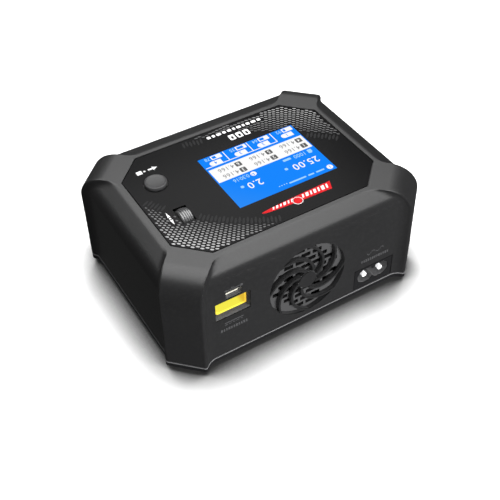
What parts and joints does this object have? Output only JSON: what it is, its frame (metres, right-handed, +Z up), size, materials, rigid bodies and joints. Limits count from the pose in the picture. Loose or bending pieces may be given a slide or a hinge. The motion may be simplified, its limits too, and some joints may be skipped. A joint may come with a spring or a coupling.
{
  "type": "balance battery charger",
  "caption": "Bench balance charger: octagonal top with colour display, scroll wheel and push button, corner pillars, rear fan, mains and DC inlets, battery outputs with balance sockets.",
  "frame": {"origin": "bottom centre of the object, on the plane its feet stand on", "axes": "+Z up, +X to the user's right, +Y to the rear (fan and inlets), so the battery outputs face -Y"},
  "size_m": [0.1286, 0.1004, 0.0546],
  "materials": {
    "case_plastic": "satin charcoal moulded ABS",
    "label_film": "printed polycarbonate film, black with a pale hexagon halftone",
    "window": "clear window",
    "screen_glass": "lit colour display",
    "key_plastic": "mid grey",
    "wheel_plastic": "dark knurled wheel",
    "dark_nylon": "black glass-filled nylon",
    "yellow_nylon": "yellow nylon",
    "white_nylon": "natural white nylon",
    "steel": "bright plated",
    "gold": "gold plated",
    "circuit_board": "green solder mask",
    "rubber": "black",
    "copper": "enamelled copper winding",
    "ferrite": "sintered ferrite",
    "aluminium": "extruded",
    "capacitor_sleeve": "shrink sleeve",
    "film_yellow": "taped film capacitor",
    "ceramic": "ceramic tube",
    "ribbon": "grey flat cable"
  },
  "bodies": {
    "case": {"ac_inlet": "dark_nylon", "ac_inlet_pin_1": "steel", "ac_inlet_pin_2": "steel", "balance_socket_1": "white_nylon", "balance_socket_2": "white_nylon", "balance_socket_3": "white_nylon", "balance_socket_4": "white_nylon", "board_link_cable": "ribbon", "bridge_rectifier": "dark_nylon", "bulk_capacitor_1": "capacitor_sleeve", "bulk_capacitor_2": "capacitor_sleeve", "button_switch": "dark_nylon", "buzzer": "dark_nylon", "case_screw_1": "steel", "case_screw_2": "steel", "case_screw_3": "steel", "case_screw_4": "steel", "channel_inductor_1": "ferrite", "channel_inductor_2": "ferrite", "channel_inductor_3": "ferrite", "channel_inductor_4": "ferrite", "common_mode_choke": "copper", "control_board": "circuit_board", "dc_input_pin_1": "gold", "dc_input_pin_2": "gold", "dc_input_socket": "yellow_nylon", "display_header": "dark_nylon", "display_module": "screen_glass", "display_window": "window", "fan_frame": "dark_nylon", "fan_screw_1": "steel", "fan_screw_2": "steel", "filter_capacitor": "film_yellow", "input_board": "circuit_board", "lower_case": "case_plastic", "main_board": "circuit_board", "mains_fuse": "ceramic", "output_board": "circuit_board", "output_heat_sink": "aluminium", "output_socket_1": "yellow_nylon", "output_socket_2": "yellow_nylon", "output_socket_3": "yellow_nylon", "output_socket_4": "yellow_nylon", "primary_heat_sink": "aluminium", "rubber_foot_1": "rubber", "rubber_foot_2": "rubber", "rubber_foot_3": "rubber", "rubber_foot_4": "rubber", "top_label": "label_film", "transformer_core": "ferrite", "transformer_winding": "copper", "upper_case": "case_plastic", "usb_port": "steel", "wheel_switch": "dark_nylon"},
    "button": {"exit_button": "key_plastic", "button_switch_plunger": "key_plastic"},
    "wheel_cradle": {"wheel_carrier": "dark_nylon", "wheel_switch_plunger": "key_plastic"},
    "wheel": {"scroll_wheel": "wheel_plastic"},
    "fan_rotor": {"fan_rotor": "dark_nylon"}
  },
  "joints": [
    {"name": "button_press", "type": "slide", "parent": "case", "child": "button", "axis": [0, 0, -1], "range_m": [0, 0.0007], "stiffness_N_per_m": 1500, "springref_m": -0.0003},
    {"name": "wheel_press", "type": "slide", "parent": "case", "child": "wheel_cradle", "axis": [0, 0, -1], "range_m": [0, 0.0005], "stiffness_N_per_m": 2500, "springref_m": -0.0003},
    {"name": "wheel_spin", "type": "hinge", "parent": "wheel_cradle", "child": "wheel", "pos_m": [0.0365, 0.0091, 0.0484], "axis": [1, 0, 0], "continuous": true},
    {"name": "fan_spin", "type": "hinge", "parent": "case", "child": "fan_rotor", "pos_m": [0, 0.0382, 0.0274], "axis": [0, 1, 0], "continuous": true}
  ]
}
